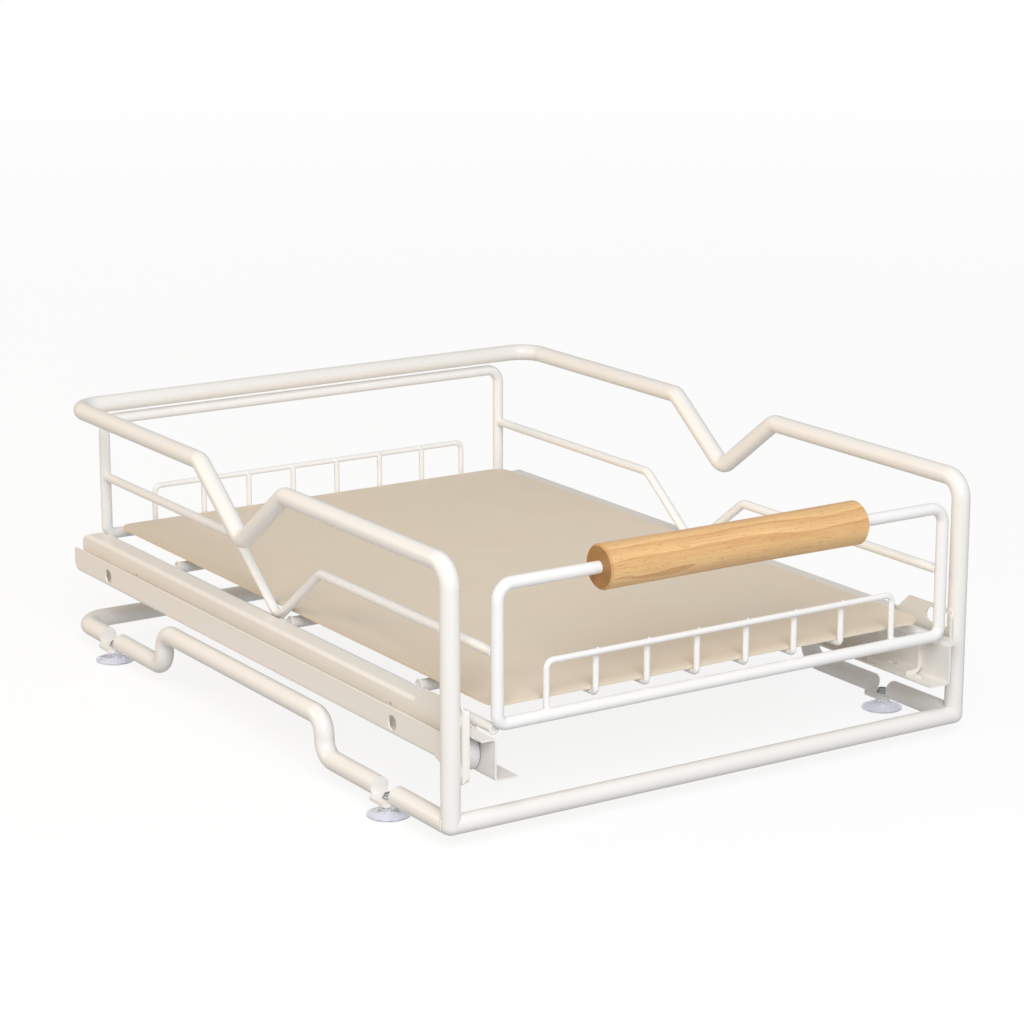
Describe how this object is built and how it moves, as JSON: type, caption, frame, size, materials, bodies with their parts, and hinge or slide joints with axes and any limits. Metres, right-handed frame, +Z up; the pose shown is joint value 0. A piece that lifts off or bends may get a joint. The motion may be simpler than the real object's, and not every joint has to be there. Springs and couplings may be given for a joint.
{
  "type": "pull out cabinet basket",
  "caption": "Wire basket with a wooden grip and a thin floor panel that pulls out on roller slides from a bent tube stand on suction cups.",
  "frame": {"origin": "middle of the whole outline on the ground, under the rims of the suction cups", "axes": "+Z up, -Y towards the grip, which is the way the basket pulls out, +X to the right seen from the front"},
  "size_m": [0.411, 0.5378, 0.178],
  "materials": {
    "stand_coat": "cream white powder coat, semi-gloss",
    "slide_coat": "cream white powder coat, semi-gloss",
    "basket_coat": "white powder coat, semi-gloss",
    "panel_coat": "beige cream powder coat, satin",
    "roller_nylon": "pale nylon, moulded",
    "rivet_steel": "zinc plated",
    "cup_vinyl": "soft see-through vinyl",
    "grip_wood": "oiled beech, satin"
  },
  "bodies": {
    "stand": {"base_loop": "stand_coat", "top_rail": "stand_coat", "left_rail_wall": "slide_coat", "right_rail_wall": "slide_coat", "left_cabinet_rail": "slide_coat", "right_cabinet_rail": "slide_coat", "left_front_axle": "rivet_steel", "right_front_axle": "rivet_steel", "front_left_cup": "cup_vinyl", "front_right_cup": "cup_vinyl", "rear_left_cup": "cup_vinyl", "rear_right_cup": "cup_vinyl"},
    "basket": {"left_drawer_rail": "slide_coat", "right_drawer_rail": "slide_coat", "left_rear_axle": "rivet_steel", "right_rear_axle": "rivet_steel", "front_left_bracket": "slide_coat", "front_right_bracket": "slide_coat", "rear_left_bracket": "slide_coat", "rear_right_bracket": "slide_coat", "front_frame": "basket_coat", "rear_frame": "basket_coat", "left_v_rod": "basket_coat", "right_v_rod": "basket_coat", "left_side_rod": "basket_coat", "right_side_rod": "basket_coat", "front_cross_rod": "basket_coat", "middle_cross_rod": "basket_coat", "rear_cross_rod": "basket_coat", "floor_wire_1": "basket_coat", "floor_wire_2": "basket_coat", "floor_wire_3": "basket_coat", "floor_wire_4": "basket_coat", "floor_wire_5": "basket_coat", "floor_wire_6": "basket_coat", "front_fence": "basket_coat", "rear_fence": "basket_coat", "floor_panel": "panel_coat", "grip": "grip_wood"},
    "front_left_roller": {"front_left_roller": "roller_nylon"},
    "front_right_roller": {"front_right_roller": "roller_nylon"},
    "rear_left_roller": {"rear_left_roller": "roller_nylon"},
    "rear_right_roller": {"rear_right_roller": "roller_nylon"}
  },
  "joints": [
    {"name": "basket_slide", "type": "slide", "parent": "stand", "child": "basket", "axis": [0, -1, 0], "range_m": [0, 0.375]},
    {"name": "front_left_roller_spin", "type": "hinge", "parent": "stand", "child": "front_left_roller", "pos_m": [-0.17875, -0.235, 0.0562], "axis": [1, 0, 0], "continuous": true},
    {"name": "front_right_roller_spin", "type": "hinge", "parent": "stand", "child": "front_right_roller", "pos_m": [0.17875, -0.235, 0.0562], "axis": [1, 0, 0], "continuous": true},
    {"name": "rear_left_roller_spin", "type": "hinge", "parent": "basket", "child": "rear_left_roller", "pos_m": [-0.17875, 0.225, 0.0637], "axis": [1, 0, 0], "continuous": true},
    {"name": "rear_right_roller_spin", "type": "hinge", "parent": "basket", "child": "rear_right_roller", "pos_m": [0.17875, 0.225, 0.0637], "axis": [1, 0, 0], "continuous": true}
  ],
  "couplings": [
    {"joint": "front_left_roller_spin", "follows": "basket_slide", "rad_per_m": 83.333},
    {"joint": "front_right_roller_spin", "follows": "basket_slide", "rad_per_m": 83.333},
    {"joint": "rear_left_roller_spin", "follows": "basket_slide", "rad_per_m": 76.923},
    {"joint": "rear_right_roller_spin", "follows": "basket_slide", "rad_per_m": 76.923}
  ]
}
